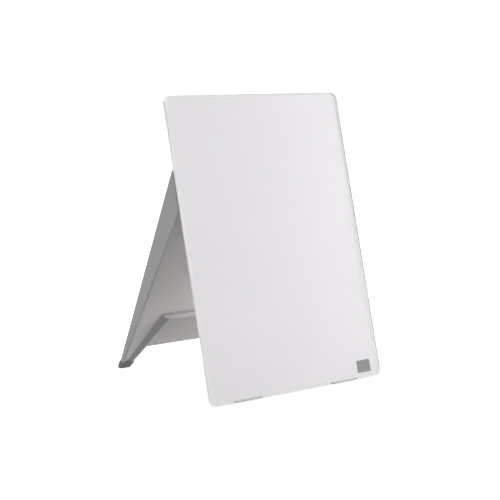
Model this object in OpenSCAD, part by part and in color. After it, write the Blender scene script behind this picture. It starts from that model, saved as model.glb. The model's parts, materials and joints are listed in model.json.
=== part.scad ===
// Desk whiteboard easel: a magnetic glass writing panel with a moulded leg that folds behind it.
// The model stands open on z = 0. +X is to the right and +Y runs from the panel back to the leg.

/* [Board] */
// Width of the glass panel
board_w = 220; // [180:1:260]
// Length of the glass panel along its face
board_h = 300; // [270:1:340]
// Radius of the panel's corners
corner_r = 8; // [6:0.5:20]
// Thickness of the toughened glass
glass_t = 4; // [3:0.5:6]
// Width of the ground arris along the glass edges
arris = 0.6; // [0.3:0.1:1]
// Lean of the panel from upright when the easel stands open
lean = 18.7; // [15:0.1:22]
// Thickness of the white film behind the glass
film_t = 0.3; // [0.2:0.1:0.6]
// Clear glass left around the white film
film_inset = 2.2; // [1:0.1:5]
// Thickness of the steel sheet that magnets hold to
sheet_t = 0.6; // [0.4:0.1:1.2]
// Distance of the steel sheet's edge from the glass edge
sheet_inset = 4; // [3:0.5:6]
// Thickness of the bonding tape
tape_t = 0.6; // [0.4:0.1:1.2]
// Width of one strip of bonding tape
tape_w = 24; // [10:1:40]

/* [Corner mark] */
// Width of the plain printed mark
mark_w = 18; // [10:0.5:25]
// Height of the plain printed mark
mark_h = 12.5; // [8:0.5:20]
// Distance of the mark from the panel's side
mark_side = 12; // [10:0.5:40]
// Distance of the mark from the panel's bottom
mark_up = 6.4; // [5:0.2:40]
// Radius of the mark's corners
mark_r = 1.2; // [0.5:0.1:3]

/* [Rear cover] */
// Thickness of the moulded rear cover
cover_t = 1.8; // [1.6:0.1:3]
// Distance of the cover's edge from the glass edge
cover_inset = 6.5; // [6:0.5:12]
// Width of the lip around the cover that hides the tape
cover_lip = 1.6; // [1.2:0.1:3]

/* [Leg] */
// Width of the leg over its side walls
leg_w = 216; // [180:1:217]
// Slope of the leg's back from upright when the easel stands open
leg_slope = 20.7; // [18:0.1:23]
// Angle between the leg's back and its open front rim
wedge = 6.2; // [5.6:0.1:6.6]
// Wall thickness of the leg moulding
leg_wall = 2; // [1.6:0.1:2.4]
// Distance from the hinge axis back to the leg's rear face
back_off = 11.6; // [11:0.1:13]
// Flat on the leg's top edge, where its back meets its stop face
top_flat = 0.9; // [0.7:0.1:3]
// Radius of the leg's lower outer corners
heel_r = 3; // [1:0.5:4]

/* [Arch at the foot of the leg] */
// Width of each foot where it ends
foot_w = 10.5; // [8:0.5:14]
// Height along the leg of the cut-out between the feet
cut_h = 24; // [18:0.5:34]
// Height along the leg of the raised panel's top
arch_h = 56; // [50:0.5:80]
// Half the width of the raised panel's top
arch_half = 67.5; // [55:1:80]

/* [Hinge] */
// Distance from the panel's bottom edge up to the hinge axis
hinge_up = 195.3; // [185:0.2:205]
// Distance from the rear cover back to the hinge axis
hinge_rise = 13.8; // [13:0.1:16]
// Distance of each hinge from the middle of the panel
hinge_x = 68; // [40:1:80]
// Running gap between the leg and the rear cover
leg_gap = 0.6; // [0.5:0.1:1.4]
// Radius of the hinge pin
pin_r = 2; // [1.5:0.1:2.5]
// Radial running clearance of the leg on its pin
pin_clear = 0.05; // [0.03:0.01:0.1]
// Width of the lug that stands on the leg
lug_w = 8; // [6:0.5:10]
// Outer radius of the lug and of the bracket's ears
lug_r = 4.8; // [4.2:0.1:5.5]
// Thickness of each ear on the bracket
ear_t = 3; // [2:0.5:4]
// Thickness of a friction washer
washer_t = 0.6; // [0.4:0.1:1]
// Side gap between moving hinge faces
side_gap = 0.05; // [0.03:0.01:0.1]
// Thickness of the bracket's base
base_t = 3; // [2.8:0.1:3.5]
// Length of the bracket's base along the panel
base_l = 24; // [22:1:28]
// Width of the bracket's base outside each ear
flange_w = 8; // [7:0.5:10]

/* [Fasteners] */
// Radius of a bracket screw's shank
screw_r = 1.25; // [1:0.05:1.5]
// Radius of a countersunk screw head
head_r = 2.35; // [2:0.05:2.8]
// Length of a bracket screw
screw_l = 4.4; // [4:0.1:4.8]

/* [Rubber] */
// Wall of the rubber cap on each leg foot
cap_wall = 0.8; // [0.6:0.1:1.4]
// Height of the rubber cap along the leg
cap_h = 5.5; // [4:0.5:12]
// Sole of the rubber cap under the leg's end
cap_sole = 2.8; // [2.4:0.1:4]
// Length of each rubber pad under the panel
pad_w = 32; // [20:1:40]
// Thickness of each rubber pad from front to back
pad_t = 4; // [3:0.5:5]
// Distance of each pad's middle from the middle of the panel
pad_x = 62; // [40:1:68]
// Air between the glass edge and the desk
glass_air = 0.8; // [0.4:0.1:1.5]
// Radius of a stop bumper
bumper_r = 4; // [3:0.5:5]
// Distance of a stop bumper's middle from the top of the stop face
bumper_down = 9; // [6:0.5:12]
// Air between a stop bumper and the rear cover
bumper_air = 0.15; // [0.1:0.05:0.3]

/* [Hidden] */
$fn = 64;

// Room that lets a cutter pass clear through what it cuts
over = 1;
// Depths behind the face of the glass, where each layer starts
film_v = glass_t;
sheet_v = film_v + film_t;
tape_v = sheet_v + sheet_t;
cover_v = tape_v + tape_t;
rear_v = cover_v + cover_t;
axis_v = rear_v + hinge_rise;

// The panel stands on its pads, with its lowest edge just off the desk
board_lift = glass_air + glass_t * sin(lean);
// Place of the hinge axis behind the panel's foot, and its height
axis_back = hinge_up * sin(lean) + axis_v * cos(lean);
axis_z = board_lift + hinge_up * cos(lean) - axis_v * sin(lean);
// Where the leg's rear face reaches the desk
leg_reach = (axis_z + back_off * sin(leg_slope)) / cos(leg_slope);
heel_back = axis_back + back_off * cos(leg_slope) + leg_reach * sin(leg_slope);
leg_len = leg_reach - cap_sole;
// Depth of the whole easel, from the glass's lower arris to the heels of the rubber caps
front_y = arris * sin(lean);
rear_y = heel_back + cap_wall / cos(leg_slope);
mid_y = (front_y + rear_y) / 2;

// The leg's stop face and open rim both keep this distance from the hinge axis
rim_r = hinge_rise - leg_gap;
open_angle = lean + leg_slope;
apex_p = (rim_r + back_off * cos(open_angle)) / sin(open_angle);
stop_len = rim_r / tan(open_angle) + back_off / sin(open_angle);
half_leg = leg_w / 2;

// How far in front of the hinge axis the leg's rim lies at a height along the leg
function rim_at(p) = (rim_r + p * sin(wedge)) / cos(wedge);

// Hinge parts, measured sideways from the middle of each hinge
ear_in = lug_w / 2 + washer_t + 2 * side_gap;
ear_out = ear_in + ear_t;
base_w = 2 * (ear_out + flange_w);
screw_x = ear_out + flange_w / 2;
fit_gap = 0.02;
notch_gap = 2;
clip_t = 0.6;
clip_r = 3.4;
groove_r = pin_r - 0.5;
groove_gap = 0.05;
pin_head_t = 1.2;
pin_head_r = 3.4;
pin_tail = 1.4;
head_h = 1.3;
hole_extra = 0.2;

// Stop bumpers on the leg, measured along the stop face from the hinge axis's foot
bumper_t = leg_gap - bumper_air;
bumper_x = 28;
bumper_s = stop_len - bumper_down;

// Places a part drawn on the panel: x across, y up the glass, z out of its face
module on_board()
    translate([0, -mid_y, board_lift])
        rotate([90 - lean, 0, 0]) children();

// Places a part drawn on the leg: x across, y up the leg, z forward, from the hinge axis
module on_leg()
    translate([0, axis_back - mid_y, axis_z])
        rotate([90 + leg_slope, 0, 0]) children();

// Extrudes a side profile, drawn as [y, z], from x0 over a length along x
module across(x0, len)
    translate([x0, 0, 0])
        rotate([90, 0, 90])
            linear_extrude(len) children();

// Rectangle with round corners, centred across x and rising from y0
module round_rect(w, h, r, y0 = 0) {
    translate([-w / 2 + r, y0]) square([w - 2 * r, h]);
    translate([-w / 2, y0 + r]) square([w, h - 2 * r]);
    for (x = [-w / 2 + r, w / 2 - r], y = [y0 + r, y0 + h - r])
        translate([x, y]) circle(r);
}

// Outline of a board layer whose edge lies inside the glass edge by a given inset
module layer_outline(inset)
    round_rect(board_w - 2 * inset, board_h - 2 * inset, max(corner_r - inset, 1), inset);

module layer(v, t, inset)
    translate([0, 0, -v - t])
        linear_extrude(t) layer_outline(inset);

// A flat zone of the mark's shape, grown by a gap
module mark_outline(gap = 0)
    translate([board_w / 2 - mark_side - mark_w / 2, 0])
        round_rect(mark_w + 2 * gap, mark_h + 2 * gap, mark_r + gap, mark_up - gap);

// Keeps only what stands above the desk
module above_desk()
    intersection() {
        children();
        translate([-board_w, -board_h, 0]) cube([2 * board_w, 2 * board_h, board_h]);
    }

module glass_panel()
    color([0.9, 0.95, 0.94, 0.4])
        on_board()
            hull() {
                layer(arris, glass_t - 2 * arris, 0);
                layer(0, glass_t, arris);
            }

module white_film()
    color("white")
        on_board()
            difference() {
                layer(film_v, film_t, film_inset);
                translate([0, 0, -film_v - film_t - over])
                    linear_extrude(film_t + 2 * over) mark_outline(fit_gap);
            }

module corner_mark()
    color("gray")
        on_board()
            translate([0, 0, -film_v - film_t])
                linear_extrude(film_t) mark_outline();

module steel_sheet()
    color("silver")
        on_board() layer(sheet_v, sheet_t, sheet_inset);

module bonding_tape()
    color("white")
        on_board()
            for (x = [-hinge_x, 0, hinge_x])
                translate([x - tape_w / 2, 2 * cover_inset, -tape_v - tape_t])
                    cube([tape_w, board_h - 4 * cover_inset, tape_t]);

module rear_cover()
    color("darkgray")
        on_board()
            difference() {
                layer(tape_v, tape_t + cover_t, cover_inset);
                layer(tape_v - over, tape_t + over, cover_inset + cover_lip);
                screw_places()
                    screw_shape(screw_r + 2 * fit_gap, head_r + 2 * fit_gap, fit_gap);
            }

// Repeats what follows at each bracket screw, with z running back from the cover's inner face
module screw_places()
    for (side = [-1, 1], x = [-screw_x, screw_x])
        translate([side * hinge_x + x, hinge_up, -cover_v])
            rotate([180, 0, 0]) children();

// Countersunk screw, with its head at z = 0
module screw_shape(shank, head, gap = 0) {
    translate([0, 0, -gap]) cylinder(h = head_h + gap, r1 = head, r2 = shank);
    cylinder(h = screw_l + (gap > 0 ? hole_extra : 0), r = shank);
}

module bracket_screws()
    color("silver")
        on_board()
            difference() {
                screw_places() screw_shape(screw_r, head_r);
                screw_places() cross_recess();
            }

// Cross recess in a screw head
module cross_recess() {
    slot = 0.5;
    for (turn = [0, 90])
        rotate([0, 0, turn])
            translate([-head_r / 2, -slot / 2, -over])
                cube([head_r, slot, over + head_h / 2]);
}

// Side profile of one bracket ear, as [up the panel, out of its face]
module ear_profile() {
    translate([hinge_up, -axis_v]) circle(lug_r);
    polygon([
        [hinge_up - base_l / 2, -rear_v], [hinge_up + base_l / 2, -rear_v],
        [hinge_up + base_l / 2, -rear_v - base_t], [hinge_up + lug_r, -axis_v],
        [hinge_up - lug_r, -axis_v], [hinge_up - base_l / 2, -rear_v - base_t]
    ]);
}

module hinge_bracket(side)
    color("gray")
        on_board()
            translate([side * hinge_x, 0, 0])
                difference() {
                    union() {
                        for (x = [-ear_out, ear_in]) across(x, ear_t) ear_profile();
                        translate([-base_w / 2, hinge_up - base_l / 2, -rear_v - base_t])
                            cube([base_w, base_l, base_t]);
                    }
                    across(-ear_out - over, 2 * (ear_out + over))
                        translate([hinge_up, -axis_v]) circle(pin_r + fit_gap);
                    translate([-side * hinge_x, 0, 0])
                        screw_places()
                            cylinder(h = screw_l + hole_extra, r = screw_r + fit_gap);
                }

module hinge_bracket_left() hinge_bracket(-1);
module hinge_bracket_right() hinge_bracket(1);

// Pin with its head on the outer side of the hinge and a clip groove on the inner side
module hinge_pin(side)
    color("silver")
        on_board()
            translate([side * hinge_x, hinge_up, -axis_v])
                rotate([0, -side * 90, 0])
                    difference() {
                        union() {
                            translate([0, 0, -ear_out])
                                cylinder(h = 2 * ear_out + clip_t + pin_tail, r = pin_r);
                            translate([0, 0, -ear_out - pin_head_t])
                                cylinder(h = pin_head_t, r = pin_head_r);
                        }
                        translate([0, 0, ear_out])
                            difference() {
                                cylinder(h = clip_t + 2 * groove_gap, r = pin_r + over);
                                translate([0, 0, -over])
                                    cylinder(h = clip_t + 2 * over, r = groove_r);
                            }
                    }

module hinge_pin_left() hinge_pin(-1);
module hinge_pin_right() hinge_pin(1);

module retaining_clips()
    color("silver")
        on_board()
            for (side = [-1, 1])
                translate([side * hinge_x, hinge_up, -axis_v])
                    rotate([0, -side * 90, 0])
                        translate([0, 0, ear_out + groove_gap])
                            difference() {
                                cylinder(h = clip_t, r = clip_r);
                                translate([0, 0, -over])
                                    cylinder(h = clip_t + 2 * over, r = groove_r + groove_gap);
                                translate([0, -groove_r, -over])
                                    cube([clip_r + over, 2 * groove_r, clip_t + 2 * over]);
                            }

module friction_washers()
    color("ivory")
        on_board()
            for (side = [-1, 1], end = [-1, 1])
                translate([side * hinge_x, 0, 0])
                    across(end * (lug_w / 2 + side_gap + washer_t / 2) - washer_t / 2, washer_t)
                        translate([hinge_up, -axis_v])
                            difference() {
                                circle(lug_r - side_gap);
                                circle(pin_r + pin_clear);
                            }

// Pad behind the glass, bonded to the steel sheet and under the cover, with its sole on the desk
module panel_pad(side)
    color("dimgray")
        above_desk()
            on_board()
                translate([side * pad_x - pad_w / 2, -pad_t, -tape_v - pad_t])
                    cube([pad_w, pad_t + cover_inset, pad_t]);

module panel_pad_left() panel_pad(-1);
module panel_pad_right() panel_pad(1);

// Side profile of the leg, as [up the leg, forward], with a round corner about the hinge axis
module leg_profile() {
    apex_corner = [apex_p, -back_off] - top_flat * [cos(open_angle), -sin(open_angle)];
    steps = 12;
    round_corner = [
        for (i = [0 : steps])
            let (turn = open_angle - i * (open_angle + wedge) / steps)
                rim_r * [sin(turn), cos(turn)]
    ];
    polygon(concat(
        [[-leg_len, -back_off], [apex_p - top_flat, -back_off], apex_corner],
        round_corner,
        [[-leg_len, rim_at(-leg_len)]]
    ));
}

// The arch between the feet, drawn flat: its sides slope in and its top is level.
// A grow of the wall's thickness gives the outside of the arch's wall.
module arch_outline(grow) {
    toe_half = half_leg - foot_w;
    run = toe_half - arch_half;
    slant = grow * norm([run, arch_h]) / arch_h;
    drop = cap_sole + cap_wall + over;
    low_half = toe_half + slant + run / arch_h * drop;
    polygon([
        [-low_half, -leg_len - drop], [low_half, -leg_len - drop],
        [arch_half + slant - grow * run / arch_h, -leg_len + arch_h + grow],
        [-arch_half - slant + grow * run / arch_h, -leg_len + arch_h + grow]
    ]);
}

// Everything at least a given depth behind the leg's open rim, over the arch
module behind_rim(depth)
    across(-half_leg - over, leg_w + 2 * over)
        polygon([
            [-leg_len - 2 * over, -back_off - over], [0, -back_off - over],
            [0, rim_at(0) - depth / cos(wedge)],
            [-leg_len - 2 * over, rim_at(-leg_len - 2 * over) - depth / cos(wedge)]
        ]);

// The leg as a full block, with its round lower corners
module leg_block()
    intersection() {
        across(-half_leg, leg_w) leg_profile();
        translate([0, 0, -back_off - over])
            linear_extrude(back_off + rim_r + 2 * over)
                round_rect(leg_w, leg_len + 2 * apex_p, heel_r, -leg_len);
    }

// The hollow of the tray, open at the rim: it leaves the back, the sides, the foot's end and
// the wall that meets the rear cover
module leg_hollow() {
    inner_back = leg_wall - back_off;
    stop_way = [sin(open_angle), cos(open_angle)];
    stop_up = [cos(open_angle), -sin(open_angle)];
    stop_inner = rim_r - leg_wall;
    mouth = -leg_wall * stop_up;
    across(leg_wall - half_leg, leg_w - 2 * leg_wall)
        polygon([
            [leg_wall - leg_len, inner_back],
            [(stop_inner - inner_back * stop_way[1]) / stop_way[0], inner_back],
            stop_inner * stop_way + mouth, 2 * rim_r * stop_way + mouth,
            [leg_wall - leg_len, 2 * rim_r]
        ]);
}

// The arch and its wall as a full block
module arch_block(grow)
    translate([0, 0, -back_off - 2 * over])
        linear_extrude(back_off + 2 * rim_r + 4 * over) arch_outline(grow);

// The room under the arch: closed in front by the raised panel, but open all through at its foot
module arch_room() {
    intersection() {
        arch_block(0);
        behind_rim(leg_wall);
    }
    intersection() {
        arch_block(0);
        translate([-half_leg, -leg_len - over, -back_off - over])
            cube([leg_w, cut_h + over, back_off + 2 * rim_r]);
    }
}

// Openings in the stop wall for the hinge brackets
module bracket_notches()
    rotate([-open_angle, 0, 0])
        for (side = [-1, 1])
            translate([side * hinge_x - base_w / 2 - notch_gap, -rim_r, rim_r - 2 * leg_wall])
                cube([base_w + 2 * notch_gap, rim_r + base_l / 2 + notch_gap, 3 * leg_wall]);

module leg_lug(side)
    across(side * hinge_x - lug_w / 2, lug_w) {
        circle(lug_r);
        polygon([
            [-lug_r, 0], [lug_r, 0],
            [lug_r + leg_wall, leg_wall / 2 - back_off], [-lug_r - leg_wall, leg_wall / 2 - back_off]
        ]);
    }

module leg_shell()
    color("darkgray")
        on_leg()
            difference() {
                union() {
                    difference() {
                        leg_block();
                        difference() {
                            leg_hollow();
                            arch_block(leg_wall);
                        }
                        arch_room();
                        bracket_notches();
                    }
                    for (side = [-1, 1]) leg_lug(side);
                }
                across(-half_leg + foot_w, leg_w - 2 * foot_w) circle(pin_r + pin_clear);
            }

// One foot as a full block between two heights on the leg, grown on all its sides
module foot_block(side, grow, low, high)
    difference() {
        intersection() {
            across(-half_leg - grow, leg_w + 2 * grow)
                polygon([
                    [low, -back_off - grow], [high, -back_off - grow],
                    [high, rim_at(high) + grow / cos(wedge)], [low, rim_at(low) + grow / cos(wedge)]
                ]);
            translate([(side - 1) / 2 * leg_w, -2 * leg_len, -2 * back_off])
                cube([leg_w, 4 * leg_len, 4 * back_off]);
        }
        arch_block(-grow);
    }

// Rubber cap that closes round the end of one foot, with its sole on the desk
module leg_foot(side)
    color("dimgray")
        above_desk()
            on_leg()
                difference() {
                    foot_block(side, cap_wall, -leg_len - cap_wall - cap_sole, -leg_len + cap_h);
                    foot_block(side, 0, -leg_len, -leg_len + cap_h + over);
                }

module leg_foot_left() leg_foot(-1);
module leg_foot_right() leg_foot(1);

module stop_bumpers()
    color("dimgray")
        on_leg()
            rotate([-open_angle, 0, 0])
                for (side = [-1, 1])
                    translate([side * bumper_x, bumper_s, rim_r])
                        cylinder(h = bumper_t, r = bumper_r);

glass_panel();
white_film();
corner_mark();
steel_sheet();
bonding_tape();
rear_cover();
hinge_bracket_left();
hinge_bracket_right();
bracket_screws();
hinge_pin_left();
hinge_pin_right();
friction_washers();
retaining_clips();
panel_pad_left();
panel_pad_right();
leg_shell();
leg_foot_left();
leg_foot_right();
stop_bumpers();
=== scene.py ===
"""Looks for the folding desk whiteboard easel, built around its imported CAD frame."""

import json
import math

import bpy
from mathutils import Matrix, Vector

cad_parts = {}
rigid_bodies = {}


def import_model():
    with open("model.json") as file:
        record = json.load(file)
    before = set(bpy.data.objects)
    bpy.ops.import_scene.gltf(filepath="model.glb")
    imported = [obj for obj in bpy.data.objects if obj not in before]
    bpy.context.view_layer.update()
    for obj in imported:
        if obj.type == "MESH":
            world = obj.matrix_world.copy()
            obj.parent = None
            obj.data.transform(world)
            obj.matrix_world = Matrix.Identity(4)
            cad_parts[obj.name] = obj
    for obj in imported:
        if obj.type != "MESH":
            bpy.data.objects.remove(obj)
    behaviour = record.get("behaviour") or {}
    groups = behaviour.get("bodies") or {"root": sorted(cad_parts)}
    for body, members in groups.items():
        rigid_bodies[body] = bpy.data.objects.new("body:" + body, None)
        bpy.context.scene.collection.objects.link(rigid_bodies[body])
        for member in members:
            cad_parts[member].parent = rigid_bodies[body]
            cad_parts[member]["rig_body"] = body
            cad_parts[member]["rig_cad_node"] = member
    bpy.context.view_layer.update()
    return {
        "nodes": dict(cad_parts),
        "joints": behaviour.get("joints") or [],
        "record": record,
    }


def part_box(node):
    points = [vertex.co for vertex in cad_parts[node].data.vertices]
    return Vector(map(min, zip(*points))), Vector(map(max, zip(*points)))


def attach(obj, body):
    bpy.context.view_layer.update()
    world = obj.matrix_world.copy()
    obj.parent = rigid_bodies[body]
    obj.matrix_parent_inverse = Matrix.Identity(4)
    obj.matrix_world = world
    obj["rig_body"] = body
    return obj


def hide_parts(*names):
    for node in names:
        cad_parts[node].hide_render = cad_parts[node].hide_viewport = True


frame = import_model()

bl_info = {
    "name": "Desk whiteboard easel",
    "version": (1, 0, 0),
    "blender": (4, 5, 0),
    "location": "3D View > Sidebar > Easel",
    "description": "Dresses the frame of a folding glass whiteboard easel",
    "category": "Object",
}

MM = 0.001
NODES = frame["nodes"]
HINGE = Vector(frame["joints"][0]["pos_m"])
FACE_AXIS = next(m["axis"] for m in frame["record"]["mounts"] if m["name"] == "writing_face")
LEAN = math.atan2(FACE_AXIS[2], -FACE_AXIS[1])
TOUCH = 0.05 * MM
LEVEL = 0.999
FACING = 0.9
SIDES = ("left", "right")
NOISE_LOW = 0.3
NOISE_HIGH = 0.7
GLASS_IOR = 1.5


class EaselSizes(bpy.types.PropertyGroup):
    """Sizes that the pieces of the easel share"""

    board_w: bpy.props.FloatProperty(
        name="Board width", description="Width of the glass panel",
        default=220 * MM, unit="LENGTH")
    board_h: bpy.props.FloatProperty(
        name="Board height", description="Length of the glass panel along its face",
        default=300 * MM, unit="LENGTH")
    glass_t: bpy.props.FloatProperty(
        name="Glass thickness", description="Thickness of the toughened glass",
        default=4 * MM, unit="LENGTH")
    film_air: bpy.props.FloatProperty(
        name="Film air", description="Air between the modelled glass and the white film",
        default=0.05 * MM, unit="LENGTH")
    corner_r: bpy.props.FloatProperty(
        name="Corner radius", description="Radius of the panel's corners",
        default=8 * MM, unit="LENGTH")
    arris: bpy.props.FloatProperty(
        name="Arris", description="Width of the ground arris along the glass edges",
        default=0.6 * MM, unit="LENGTH")
    leg_slope: bpy.props.FloatProperty(
        name="Leg slope", description="Slope of the leg's back from upright",
        default=math.radians(20.7), subtype="ANGLE")
    leg_w: bpy.props.FloatProperty(
        name="Leg width", description="Width of the leg over its side walls",
        default=216 * MM, unit="LENGTH")
    leg_len: bpy.props.FloatProperty(
        name="Leg length", description="Length of the leg from its hinge axis to its end",
        default=194.334 * MM, unit="LENGTH")
    leg_wall: bpy.props.FloatProperty(
        name="Leg wall", description="Wall thickness of the leg moulding",
        default=2 * MM, unit="LENGTH")
    back_off: bpy.props.FloatProperty(
        name="Back offset", description="Distance from the hinge axis back to the leg's rear face",
        default=11.6 * MM, unit="LENGTH")
    arch_h: bpy.props.FloatProperty(
        name="Arch height", description="Height along the leg of the raised panel's top",
        default=56 * MM, unit="LENGTH")
    draft: bpy.props.FloatProperty(
        name="Arch draft", description="How far the foot of the arch wall leans into the tray",
        default=3.5 * MM, unit="LENGTH")


class EaselColours(bpy.types.PropertyGroup):
    """Colours of the easel's finishes"""

    film: bpy.props.FloatVectorProperty(
        name="White film", description="White film seen through the glass",
        subtype="COLOR", size=3, min=0, max=1, default=(0.96, 0.938, 0.962))
    glass: bpy.props.FloatVectorProperty(
        name="Glass", description="Faint tint of the toughened glass",
        subtype="COLOR", size=3, min=0, max=1, default=(0.992, 0.99, 0.992))
    ground: bpy.props.FloatVectorProperty(
        name="Ground glass", description="Pale grey of the ground glass edge",
        subtype="COLOR", size=3, min=0, max=1, default=(0.93, 0.91, 0.93))
    mark: bpy.props.FloatVectorProperty(
        name="Corner mark", description="Grey of the plain printed mark",
        subtype="COLOR", size=3, min=0, max=1, default=(0.265, 0.265, 0.27))
    leg: bpy.props.FloatVectorProperty(
        name="Leg", description="Grey of the leg's grained outside",
        subtype="COLOR", size=3, min=0, max=1, default=(0.35, 0.342, 0.35))
    # Painted light: the tray is the leg's own grey plastic, lightened to offset the shade it sits in
    # under the panel.
    tray: bpy.props.FloatVectorProperty(
        name="Tray", description="Lighter grey of the smooth faces inside the leg",
        subtype="COLOR", size=3, min=0, max=1, default=(0.64, 0.618, 0.612))
    # Painted light: the raised panel is the leg's own grey plastic too, lightened less than the tray
    # because it catches more light.
    raised: bpy.props.FloatVectorProperty(
        name="Raised panel", description="Grey of the raised panel between the leg's feet",
        subtype="COLOR", size=3, min=0, max=1, default=(0.46, 0.445, 0.44))
    cover: bpy.props.FloatVectorProperty(
        name="Rear cover", description="Grey of the moulded rear cover",
        subtype="COLOR", size=3, min=0, max=1, default=(0.62, 0.62, 0.62))
    rubber: bpy.props.FloatVectorProperty(
        name="Rubber", description="Grey of the rubber feet",
        subtype="COLOR", size=3, min=0, max=1, default=(0.165, 0.165, 0.165))
    silicone: bpy.props.FloatVectorProperty(
        name="Silicone", description="Cloudy white of the pads under the panel",
        subtype="COLOR", size=3, min=0, max=1, default=(0.93, 0.93, 0.93))
    bracket: bpy.props.FloatVectorProperty(
        name="Bracket coat", description="Dark coat of the hinge brackets",
        subtype="COLOR", size=3, min=0, max=1, default=(0.32, 0.32, 0.33))
    sheet: bpy.props.FloatVectorProperty(
        name="Steel sheet", description="Cold rolled steel behind the film",
        subtype="COLOR", size=3, min=0, max=1, default=(0.55, 0.56, 0.57))
    turned: bpy.props.FloatVectorProperty(
        name="Turned steel", description="Bare steel of the pins, screws and clips",
        subtype="COLOR", size=3, min=0, max=1, default=(0.6, 0.6, 0.61))
    tape: bpy.props.FloatVectorProperty(
        name="Foam tape", description="White of the bonding tape",
        subtype="COLOR", size=3, min=0, max=1, default=(0.8, 0.8, 0.78))
    nylon: bpy.props.FloatVectorProperty(
        name="Nylon", description="Cream of the friction washers",
        subtype="COLOR", size=3, min=0, max=1, default=(0.75, 0.74, 0.7))


def sizes():
    return bpy.context.scene.easel_sizes


def colours():
    return bpy.context.scene.easel_colours


def panel_place():
    """Where a piece drawn on the panel goes: x across, y up the glass, z out of its face."""
    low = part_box("glass_panel")[0]
    size = sizes()
    ahead = low.y - size.arris * math.sin(LEAN)
    above = low.z + (size.glass_t - size.arris) * math.sin(LEAN)
    return Matrix.Translation((0, ahead, above)) @ Matrix.Rotation(math.pi / 2 - LEAN, 4, "X")


def leg_place():
    """Where a piece drawn on the leg goes: x across, y up the leg, z forward, from the hinge axis."""
    return Matrix.Translation(HINGE) @ Matrix.Rotation(math.pi / 2 + sizes().leg_slope, 4, "X")


def only(obj):
    """Leaves obj alone selected and active."""
    if bpy.context.object and bpy.context.object.mode != "OBJECT":
        bpy.ops.object.mode_set(mode="OBJECT")
    bpy.ops.object.select_all(action="DESELECT")
    obj.select_set(True)
    bpy.context.view_layer.objects.active = obj


def place(obj, matrix):
    """Moves obj's mesh by matrix and leaves the object itself at the origin."""
    only(obj)
    obj.matrix_world = matrix
    bpy.ops.object.transform_apply(location=True, rotation=True, scale=True)


def pick(obj, kind, test):
    """Enters edit mode with the vertices, edges or faces selected that pass a test."""
    only(obj)
    mesh = obj.data
    for group in (mesh.vertices, mesh.edges, mesh.polygons):
        group.foreach_set("select", [False] * len(group))
    items = {"VERT": mesh.vertices, "EDGE": mesh.edges, "FACE": mesh.polygons}[kind]
    for item in items:
        if test(item):
            item.select = True
            if kind != "VERT":
                for corner in item.vertices:
                    mesh.vertices[corner].select = True
    kinds = ("VERT", "EDGE", "FACE")
    bpy.context.tool_settings.mesh_select_mode = [kind == each for each in kinds]
    bpy.ops.object.mode_set(mode="EDIT")


def finish_edit():
    bpy.ops.object.mode_set(mode="OBJECT")


def edge_ends(obj, edge):
    return [obj.data.vertices[i].co for i in edge.vertices]


def merged_copy(node, name):
    """A copy of a CAD node's mesh with its triangles joined into whole faces."""
    only(NODES[node])
    bpy.ops.object.duplicate()
    obj = bpy.context.object
    obj.parent = None
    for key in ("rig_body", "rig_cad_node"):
        if key in obj:
            del obj[key]
    obj.name = name
    obj.data.name = name
    obj.data.materials.clear()
    only(obj)
    bpy.ops.object.mode_set(mode="EDIT")
    bpy.ops.mesh.select_all(action="SELECT")
    same_point = 0.002 * MM
    same_plane = math.radians(0.3)
    bpy.ops.mesh.remove_doubles(threshold=same_point)
    bpy.ops.mesh.dissolve_limited(angle_limit=same_plane)
    finish_edit()
    return obj


def shade(obj, degrees=28):
    """Shades obj smooth up to an angle between its faces."""
    only(obj)
    bpy.ops.object.shade_smooth_by_angle(angle=math.radians(degrees))


def soften(obj, width, segments=3):
    """Rounds every sharp edge and shades the piece smooth."""
    sharp = math.radians(35)
    only(obj)
    bevel = obj.modifiers.new("Soft edges", "BEVEL")
    bevel.width = width
    bevel.segments = segments
    bevel.limit_method = "ANGLE"
    bevel.angle_limit = sharp
    bevel.miter_outer = "MITER_ARC"
    bpy.ops.object.modifier_apply(modifier=bevel.name)
    shade(obj)


def settle(obj, body, slot, *nodes):
    """Attaches a finished piece to the body it rides on and hides the nodes it stands for; the slot it
    would take its finish from is not used.
    """
    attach(obj, body)
    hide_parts(*nodes)


def new_material(name):
    """An empty node material, with its nodes and links."""
    material = bpy.data.materials.new(name)
    material.use_nodes = True
    return material, material.node_tree.nodes, material.node_tree.links


def object_noise(nodes, links, scale):
    """Noise on object coordinates; scale is in features per metre."""
    spot = nodes.new("ShaderNodeTexCoord")
    noise = nodes.new("ShaderNodeTexNoise")
    noise.inputs["Scale"].default_value = scale
    noise.inputs["Detail"].default_value = 3
    links.new(spot.outputs["Object"], noise.inputs["Vector"])
    return noise


def spread(nodes, links, source, low, high):
    """Turns a noise value into a value between low and high."""
    ramp = nodes.new("ShaderNodeMapRange")
    ramp.inputs["From Min"].default_value = NOISE_LOW
    ramp.inputs["From Max"].default_value = NOISE_HIGH
    ramp.inputs["To Min"].default_value = low
    ramp.inputs["To Max"].default_value = high
    links.new(source.outputs["Fac"], ramp.inputs["Value"])
    return ramp.outputs["Result"]


def tone(nodes, links, source, middle, change):
    """A colour that wanders a little to each side of the middle one."""
    ramp = nodes.new("ShaderNodeValToRGB")
    dark, light = ramp.color_ramp.elements
    dark.position = NOISE_LOW
    light.position = NOISE_HIGH
    dark.color = [c * (1 - change) for c in middle] + [1]
    light.color = [min(c * (1 + change), 1) for c in middle] + [1]
    links.new(source.outputs["Fac"], ramp.inputs["Fac"])
    return ramp.outputs["Color"]


def bump(nodes, links, shader, source, distance):
    """Raises a surface by a noise; distance is in metres."""
    node = nodes.new("ShaderNodeBump")
    node.inputs["Distance"].default_value = distance
    node.inputs["Strength"].default_value = 0.5
    links.new(source.outputs["Fac"], node.inputs["Height"])
    links.new(node.outputs["Normal"], shader.inputs["Normal"])


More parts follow.
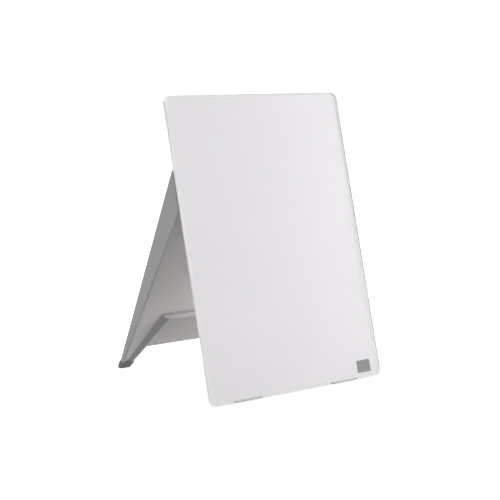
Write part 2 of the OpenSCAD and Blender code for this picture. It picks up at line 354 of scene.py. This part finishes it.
def surface(nodes, links, source, middle, change, rough):
    """Lets one noise vary both the colour and the roughness of a material."""
    shader = nodes["Principled BSDF"]
    links.new(tone(nodes, links, source, middle, change), shader.inputs["Base Color"])
    links.new(spread(nodes, links, source, *rough), shader.inputs["Roughness"])
    return shader


def plastic(name, middle, grain=2600, depth=0.05 * MM, rough=(0.42, 0.56), change=0.03):
    """Moulded plastic or rubber with a fine grain and faint cloudiness."""
    material, nodes, links = new_material(name)
    cloud = object_noise(nodes, links, scale=22)
    fine = object_noise(nodes, links, scale=grain)
    shader = surface(nodes, links, cloud, middle, change, rough)
    bump(nodes, links, shader, fine, depth)
    return material


def metal(name, middle, rough, stretch):
    """Bare steel with drawn or turned marks, stretched along one axis."""
    material, nodes, links = new_material(name)
    marks = object_noise(nodes, links, scale=900)
    mapping = nodes.new("ShaderNodeMapping")
    mapping.inputs["Scale"].default_value = stretch
    coords = marks.inputs["Vector"].links[0].from_socket
    links.new(coords, mapping.inputs["Vector"])
    links.new(mapping.outputs["Vector"], marks.inputs["Vector"])
    shader = surface(nodes, links, marks, middle, change=0.08, rough=rough)
    shader.inputs["Metallic"].default_value = 1
    return material


def clear_glass():
    """Polished clear glass."""
    material, nodes, links = new_material("clear_glass")
    shader = nodes["Principled BSDF"]
    shader.inputs["Base Color"].default_value = (*colours().glass, 1)
    shader.inputs["Transmission Weight"].default_value = 1
    shader.inputs["IOR"].default_value = GLASS_IOR
    smear = object_noise(nodes, links, scale=14)
    links.new(spread(nodes, links, smear, low=0.02, high=0.06), shader.inputs["Roughness"])
    return material


def ground_glass():
    """The ground edge and arris of the glass, which scatter light."""
    material, nodes, links = new_material("ground_glass")
    grit = object_noise(nodes, links, scale=3000)
    shader = surface(nodes, links, grit, colours().ground, change=0.03, rough=(0.35, 0.5))
    shader.inputs["Transmission Weight"].default_value = 0.25
    shader.inputs["IOR"].default_value = GLASS_IOR
    return material


def printed(name, middle):
    """A printed layer, smooth and even, with the faint mottle of ink on film."""
    material, nodes, links = new_material(name)
    mottle = object_noise(nodes, links, scale=450)
    surface(nodes, links, mottle, middle, change=0.006, rough=(0.45, 0.55))
    return material


def compare(nodes, links, operation, value, limit):
    """A value of 1 where another is less or greater than a limit, and 0 elsewhere."""
    node = nodes.new("ShaderNodeMath")
    node.operation = operation
    node.inputs[1].default_value = limit
    links.new(value, node.inputs[0])
    return node.outputs[0]


def switch(nodes, links, factor, off, on):
    """The value off, or the value on where the factor is 1; off may come from a node."""
    node = nodes.new("ShaderNodeMix")
    node.inputs["B"].default_value = on
    if isinstance(off, bpy.types.NodeSocket):
        links.new(off, node.inputs["A"])
    else:
        node.inputs["A"].default_value = off
    links.new(factor, node.inputs["Factor"])
    return node.outputs["Result"]


def give(node, material):
    """Dresses a CAD node that keeps its own shape."""
    NODES[node].data.materials.clear()
    NODES[node].data.materials.append(material)


class EASEL_OT_glass(bpy.types.Operator):
    """Model the glass pane with its round corners and ground arris"""

    bl_idname = "easel.glass"
    bl_label = "Glass pane"

    def execute(self, context):
        size = sizes()
        thick = size.glass_t - size.film_air
        bpy.ops.object.select_all(action="DESELECT")
        bpy.ops.mesh.primitive_cube_add(
            size=1, location=(0, size.board_h / 2, -thick / 2),
            scale=(size.board_w, size.board_h, thick))
        pane = context.object
        pane.name = "glass_pane"
        bpy.ops.object.transform_apply(location=True, rotation=True, scale=True)
        self.round_corners(pane, size)
        self.grind_arris(pane, size, thick)
        pane.data.materials.append(clear_glass())
        pane.data.materials.append(ground_glass())
        pick(pane, "FACE", self.is_ground)
        pane.active_material_index = 1
        bpy.ops.object.material_slot_assign()
        finish_edit()
        shade(pane, degrees=20)
        place(pane, panel_place())
        settle(pane, "panel", "glass", "glass_panel")
        return {"FINISHED"}

    @staticmethod
    def is_ground(face):
        flat = 0.98
        return abs(face.normal.z) < flat

    @staticmethod
    def round_corners(pane, size):
        def upright(edge):
            a, b = edge_ends(pane, edge)
            return abs(a.z - b.z) > size.glass_t / 2

        pick(pane, "EDGE", upright)
        bpy.ops.mesh.bevel(offset=size.corner_r, segments=14, affect="EDGES")
        finish_edit()

    @staticmethod
    def grind_arris(pane, size, thick):
        def on_rim(edge):
            a, b = edge_ends(pane, edge)
            return abs(a.z - b.z) < thick / 2

        pick(pane, "EDGE", on_rim)
        bpy.ops.mesh.bevel(offset=size.arris, segments=1, affect="EDGES")
        finish_edit()


class EASEL_OT_layers(bpy.types.Operator):
    """Finish the film, corner mark, steel sheet and tape behind the glass"""

    bl_idname = "easel.layers"
    bl_label = "Layers behind the glass"

    def execute(self, context):
        give("white_film", printed("white_print", colours().film))
        give("corner_mark", printed("grey_print", colours().mark))
        steel = metal("cold_rolled_steel", colours().sheet, rough=(0.35, 0.5), stretch=(1, 12, 12))
        foam = plastic("foam_tape", colours().tape, grain=1500, depth=0.2 * MM, rough=(0.7, 0.85))
        give("steel_sheet", steel)
        give("bonding_tape", foam)
        return {"FINISHED"}


class EASEL_OT_cover(bpy.types.Operator):
    """Model the rear cover with a rounded outer edge"""

    bl_idname = "easel.cover"
    bl_label = "Rear cover"

    def execute(self, context):
        cover = merged_copy("rear_cover", "moulded_cover")
        home = panel_place()
        place(cover, home.inverted())
        back = min(v.co.z for v in cover.data.vertices)
        margin = 20 * MM

        def on_back_rim(edge):
            a, b = edge_ends(cover, edge)
            centre = (a + b) / 2
            near_side = abs(centre.x) > sizes().board_w / 2 - margin
            near_end = not margin < centre.y < sizes().board_h - margin
            return max(a.z, b.z) < back + TOUCH and (near_side or near_end)

        pick(cover, "EDGE", on_back_rim)
        bpy.ops.mesh.bevel(offset=1.4 * MM, segments=5, affect="EDGES")
        finish_edit()
        shade(cover)
        cover.data.materials.append(plastic("cover_plastic", colours().cover))
        place(cover, home)
        settle(cover, "panel", "cover_plastic", "rear_cover")
        return {"FINISHED"}


class EASEL_OT_leg(bpy.types.Operator):
    """Model the moulded leg, with its leaning arch wall and rounded edges"""

    bl_idname = "easel.leg"
    bl_label = "Moulded leg"

    def execute(self, context):
        leg = merged_copy("leg_shell", "moulded_leg")
        home = leg_place()
        place(leg, home.inverted())
        self.lean_arch_wall(leg)
        self.round_arch(leg)
        leg.data.materials.append(plastic("leg_plastic", colours().leg))
        # Painted light: the tray and raised panel take the leg's grey lightened to offset the shade
        # inside the leg, the tray more because it lies deeper in shade.
        leg.data.materials.append(self.inner_painted_light_finish("tray_plastic_painted_light", colours().tray))
        leg.data.materials.append(self.inner_painted_light_finish("raised_plastic_painted_light", colours().raised))
        for slot, test in ((1, self.in_tray), (2, self.on_raised_panel)):
            pick(leg, "FACE", test)
            leg.active_material_index = slot
            bpy.ops.object.material_slot_assign()
            finish_edit()
        soften(leg, width=0.7 * MM)
        place(leg, home)
        settle(leg, "leg", "leg_plastic", "leg_shell")
        return {"FINISHED"}

    @staticmethod
    def up(point):
        """Height of a point above the leg's end, along the leg."""
        return point.y + sizes().leg_len

    @staticmethod
    def depth(point):
        """Depth of a point in front of the leg's back."""
        return point.z + sizes().back_off

    @staticmethod
    def in_tray(face):
        """True on the tray's floor and on the wall above the arch."""
        above_arch = face.normal.y > FACING and face.center.y < 0
        return face.normal.z > LEVEL or above_arch

    @staticmethod
    def on_raised_panel(face):
        """True on the raised panel, whose face runs on into the rims of the tray."""
        return FACING < face.normal.z < LEVEL

    @staticmethod
    def inner_painted_light_finish(name, inner):
        """A smooth finish in a grey lightened as painted light against the shade inside the leg, whose
        colour gives way to the leg's own on the side rims.
        """
        material = plastic(name, inner, depth=0.02 * MM)
        nodes = material.node_tree.nodes
        links = material.node_tree.links
        base = nodes["Principled BSDF"].inputs["Base Color"]
        rim = sizes().leg_w / 2 - sizes().leg_wall - 0.2 * MM
        spot = nodes.new("ShaderNodeTexCoord")
        parts = nodes.new("ShaderNodeSeparateXYZ")
        links.new(spot.outputs["Object"], parts.inputs[0])
        side = nodes.new("ShaderNodeMath")
        side.operation = "ABSOLUTE"
        links.new(parts.outputs["X"], side.inputs[0])
        on_rim = compare(nodes, links, "GREATER_THAN", side.outputs[0], limit=rim)
        mix = nodes.new("ShaderNodeMix")
        mix.data_type = "RGBA"
        links.new(on_rim, mix.inputs["Factor"])
        links.new(base.links[0].from_socket, mix.inputs["A"])
        mix.inputs["B"].default_value = (*colours().leg, 1)
        links.new(mix.outputs["Result"], base)
        return material

    def arch_foot(self, point):
        """True along the foot of the arch wall, where it meets the floor of the tray."""
        size = sizes()
        top = size.arch_h + size.leg_wall + 0.3 * MM
        inner = 60 * MM
        outer = 102 * MM
        in_height = -2 * TOUCH < self.up(point) < top
        on_floor = abs(self.depth(point) - size.leg_wall) < TOUCH
        return in_height and on_floor and inner < abs(point.x) < outer

    def lean_arch_wall(self, leg):
        for side in (-1, 1):
            pick(leg, "VERT", lambda v: self.arch_foot(v.co) and v.co.x * side > 0)
            bpy.ops.transform.translate(value=(side * sizes().draft, 0, 0))
            finish_edit()

    def round_arch(self, leg):
        """Rounds the two corners that run down the arch wall, and the bends along its foot."""
        size = sizes()
        reach = 105 * MM
        slack = 6 * MM

        def near_foot(point):
            outside = abs(self.depth(point) - size.leg_wall) < TOUCH
            inside = abs(self.depth(point)) < TOUCH
            in_reach = abs(point.x) < reach and self.up(point) < size.arch_h + slack
            return in_reach and (outside or inside)

        def on_foot(edge):
            a, b = edge_ends(leg, edge)
            clear_of_end = self.up(a) + self.up(b) > slack
            one_depth = abs(self.depth(a) - self.depth(b)) < 2 * TOUCH
            return near_foot(a) and near_foot(b) and clear_of_end and one_depth

        pick(leg, "EDGE", on_foot)
        bpy.ops.mesh.bevel(offset=2.2 * MM, segments=5, affect="EDGES", clamp_overlap=True)
        finish_edit()


class EASEL_OT_rubber(bpy.types.Operator):
    """Model the rubber caps and silicone pads with rounded edges, and finish the bumpers"""

    bl_idname = "easel.rubber"
    bl_label = "Feet, pads and bumpers"

    def execute(self, context):
        rubber = plastic(
            "foot_rubber", colours().rubber, grain=1800, depth=0.08 * MM, rough=(0.6, 0.75), change=0.08)
        silicone = plastic(
            "pad_silicone", colours().silicone, grain=1500, depth=0.03 * MM, rough=(0.2, 0.3))
        shader = silicone.node_tree.nodes["Principled BSDF"]
        shader.inputs["Transmission Weight"].default_value = 0.8
        for side in SIDES:
            cap = merged_copy("leg_foot_" + side, "foot_cap_" + side)
            soften(cap, width=0.6 * MM, segments=4)
            cap.data.materials.append(rubber)
            settle(cap, "leg", "rubber", "leg_foot_" + side)
            pad = merged_copy("panel_pad_" + side, "desk_pad_" + side)
            soften(pad, width=0.5 * MM, segments=4)
            pad.data.materials.append(silicone)
            settle(pad, "panel", "silicone", "panel_pad_" + side)
        give("stop_bumpers", rubber)
        return {"FINISHED"}


class EASEL_OT_hinges(bpy.types.Operator):
    """Model the hinge brackets and finish the pins, screws, washers and clips"""

    bl_idname = "easel.hinges"
    bl_label = "Hinges"

    def execute(self, context):
        coat = plastic(
            "bracket_coat", colours().bracket, grain=3200, depth=0.03 * MM, rough=(0.35, 0.45))
        for side in SIDES:
            bracket = merged_copy("hinge_bracket_" + side, "bracket_" + side)
            soften(bracket, width=0.3 * MM, segments=2)
            bracket.data.materials.append(coat)
            settle(bracket, "panel", "bracket_metal", "hinge_bracket_" + side)
        steel = metal("turned_steel", colours().turned, rough=(0.2, 0.32), stretch=(0.2, 1, 1))
        for node in ("hinge_pin_left", "hinge_pin_right", "bracket_screws", "retaining_clips"):
            give(node, steel)
        nylon = plastic("nylon", colours().nylon, grain=1200, depth=0.02 * MM, rough=(0.4, 0.5))
        give("friction_washers", nylon)
        return {"FINISHED"}


class EASEL_OT_stage(bpy.types.Operator):
    """Set the pale floor, the soft lights and the camera"""

    bl_idname = "easel.stage"
    bl_label = "Stage"

    def execute(self, context):
        context.scene.view_settings.view_transform = "Standard"
        self.floor()
        self.world(context.scene)
        self.lamp("key_light", spot=(0.81, -0.39, 0.41), size=0.3, power=9.3)
        self.lamp("top_light", spot=(0.1, -1.0, 1.6), size=0.5, power=4.6)
        self.lamp("back_light", spot=(0.2, 1.9, 1.5), size=1.6, power=12)
        self.camera(context.scene)
        return {"FINISHED"}

    @staticmethod
    def floor():
        """A wide pale floor that the camera sees as white, and straight through glass as pale grey."""
        bpy.ops.object.select_all(action="DESELECT")
        bpy.ops.mesh.primitive_plane_add(size=60, location=(0, 0, 0))
        plane = bpy.context.object
        plane.name = "floor"
        material, nodes, links = new_material("pale_floor")
        shader = nodes["Principled BSDF"]
        shader.inputs["Roughness"].default_value = 0.9
        shader.inputs["Specular IOR Level"].default_value = 0
        path = nodes.new("ShaderNodeLightPath").outputs
        through_glass = path["Is Transmission Ray"]
        no_bounce = compare(nodes, links, "LESS_THAN", path["Diffuse Depth"], limit=0.5)
        straight = nodes.new("ShaderNodeMath")
        straight.operation = "MULTIPLY"
        links.new(through_glass, straight.inputs[0])
        links.new(no_bounce, straight.inputs[1])
        pale = switch(nodes, links, straight.outputs[0], off=0.9, on=0.2)
        links.new(pale, shader.inputs["Base Color"])
        lit = switch(nodes, links, through_glass, off=0, on=0.15)
        lit = switch(nodes, links, straight.outputs[0], off=lit, on=0.63)
        lit = switch(nodes, links, path["Is Camera Ray"], off=lit, on=0.6)
        glow = nodes.new("ShaderNodeEmission")
        links.new(lit, glow.inputs["Strength"])
        both = nodes.new("ShaderNodeAddShader")
        links.new(shader.outputs[0], both.inputs[0])
        links.new(glow.outputs[0], both.inputs[1])
        links.new(both.outputs[0], nodes["Material Output"].inputs["Surface"])
        plane.data.materials.append(material)

    @staticmethod
    def world(scene):
        """A soft even world, brighter through the glass, that the camera sees as white."""
        scene.world = bpy.data.worlds.new("soft_room")
        scene.world.use_nodes = True
        nodes = scene.world.node_tree.nodes
        links = scene.world.node_tree.links
        soft = nodes["Background"]
        soft.inputs["Color"].default_value = (1, 1, 1, 1)
        path = nodes.new("ShaderNodeLightPath").outputs
        lit = switch(nodes, links, path["Is Transmission Ray"], off=0.71, on=0.91)
        lit = switch(nodes, links, path["Is Camera Ray"], off=lit, on=1)
        links.new(lit, soft.inputs["Strength"])

    @staticmethod
    def lamp(name, spot, size, power):
        data = bpy.data.lights.new(name, "AREA")
        data.shape = "DISK"
        data.size = size
        data.energy = power
        lamp = bpy.data.objects.new(name, data)
        lamp.location = spot
        middle = Vector((0, 0, 0.13))
        aim = middle - Vector(spot)
        lamp.rotation_euler = aim.to_track_quat("-Z", "Y").to_euler()
        bpy.context.scene.collection.objects.link(lamp)

    @staticmethod
    def camera(scene):
        """The photograph's view: where the camera stood, and how it was turned."""
        spot = Vector((-867.5, -1067.6, 401.8)) * MM
        yaw = math.radians(38.87)
        pitch = math.radians(11.23)
        roll = math.radians(-2.68)
        focal_px = 1380.4
        frame_px = 500
        sensor = 36
        flat = math.cos(pitch)
        ahead = Vector((math.sin(yaw) * flat, math.cos(yaw) * flat, -math.sin(pitch)))
        level = Vector((math.cos(yaw), -math.sin(yaw), 0))
        below = ahead.cross(level)
        right = math.cos(roll) * level + math.sin(roll) * below
        down = math.cos(roll) * below - math.sin(roll) * level
        data = bpy.data.cameras.new("photo_camera")
        data.sensor_width = sensor
        data.lens = sensor * focal_px / frame_px
        camera = bpy.data.objects.new("photo_camera", data)
        turn = Matrix((right, -down, -ahead)).transposed().to_4x4()
        camera.matrix_world = Matrix.Translation(spot) @ turn
        scene.collection.objects.link(camera)
        scene.camera = camera


class EASEL_PT_panel(bpy.types.Panel):
    """Lists the easel's sizes, colours and pieces"""

    bl_label = "Desk whiteboard easel"
    bl_idname = "EASEL_PT_panel"
    bl_space_type = "VIEW_3D"
    bl_region_type = "UI"
    bl_category = "Easel"

    def draw(self, context):
        for group in (context.scene.easel_sizes, context.scene.easel_colours):
            for name in group.__annotations__:
                self.layout.prop(group, name)
        for operator in OPERATORS:
            self.layout.operator(operator.bl_idname)


OPERATORS = (
    EASEL_OT_glass, EASEL_OT_layers, EASEL_OT_cover, EASEL_OT_leg,
    EASEL_OT_rubber, EASEL_OT_hinges, EASEL_OT_stage,
)
CLASSES = (EaselSizes, EaselColours, *OPERATORS, EASEL_PT_panel)


def register():
    for item in CLASSES:
        bpy.utils.register_class(item)
    bpy.types.Scene.easel_sizes = bpy.props.PointerProperty(type=EaselSizes)
    bpy.types.Scene.easel_colours = bpy.props.PointerProperty(type=EaselColours)


def unregister():
    del bpy.types.Scene.easel_colours
    del bpy.types.Scene.easel_sizes
    for item in reversed(CLASSES):
        bpy.utils.unregister_class(item)


def main():
    register()
    bpy.ops.easel.stage()
    bpy.ops.easel.glass()
    bpy.ops.easel.layers()
    bpy.ops.easel.cover()
    bpy.ops.easel.leg()
    bpy.ops.easel.rubber()
    bpy.ops.easel.hinges()
    bpy.context.view_layer.update()


if __name__ == "__main__":
    main()
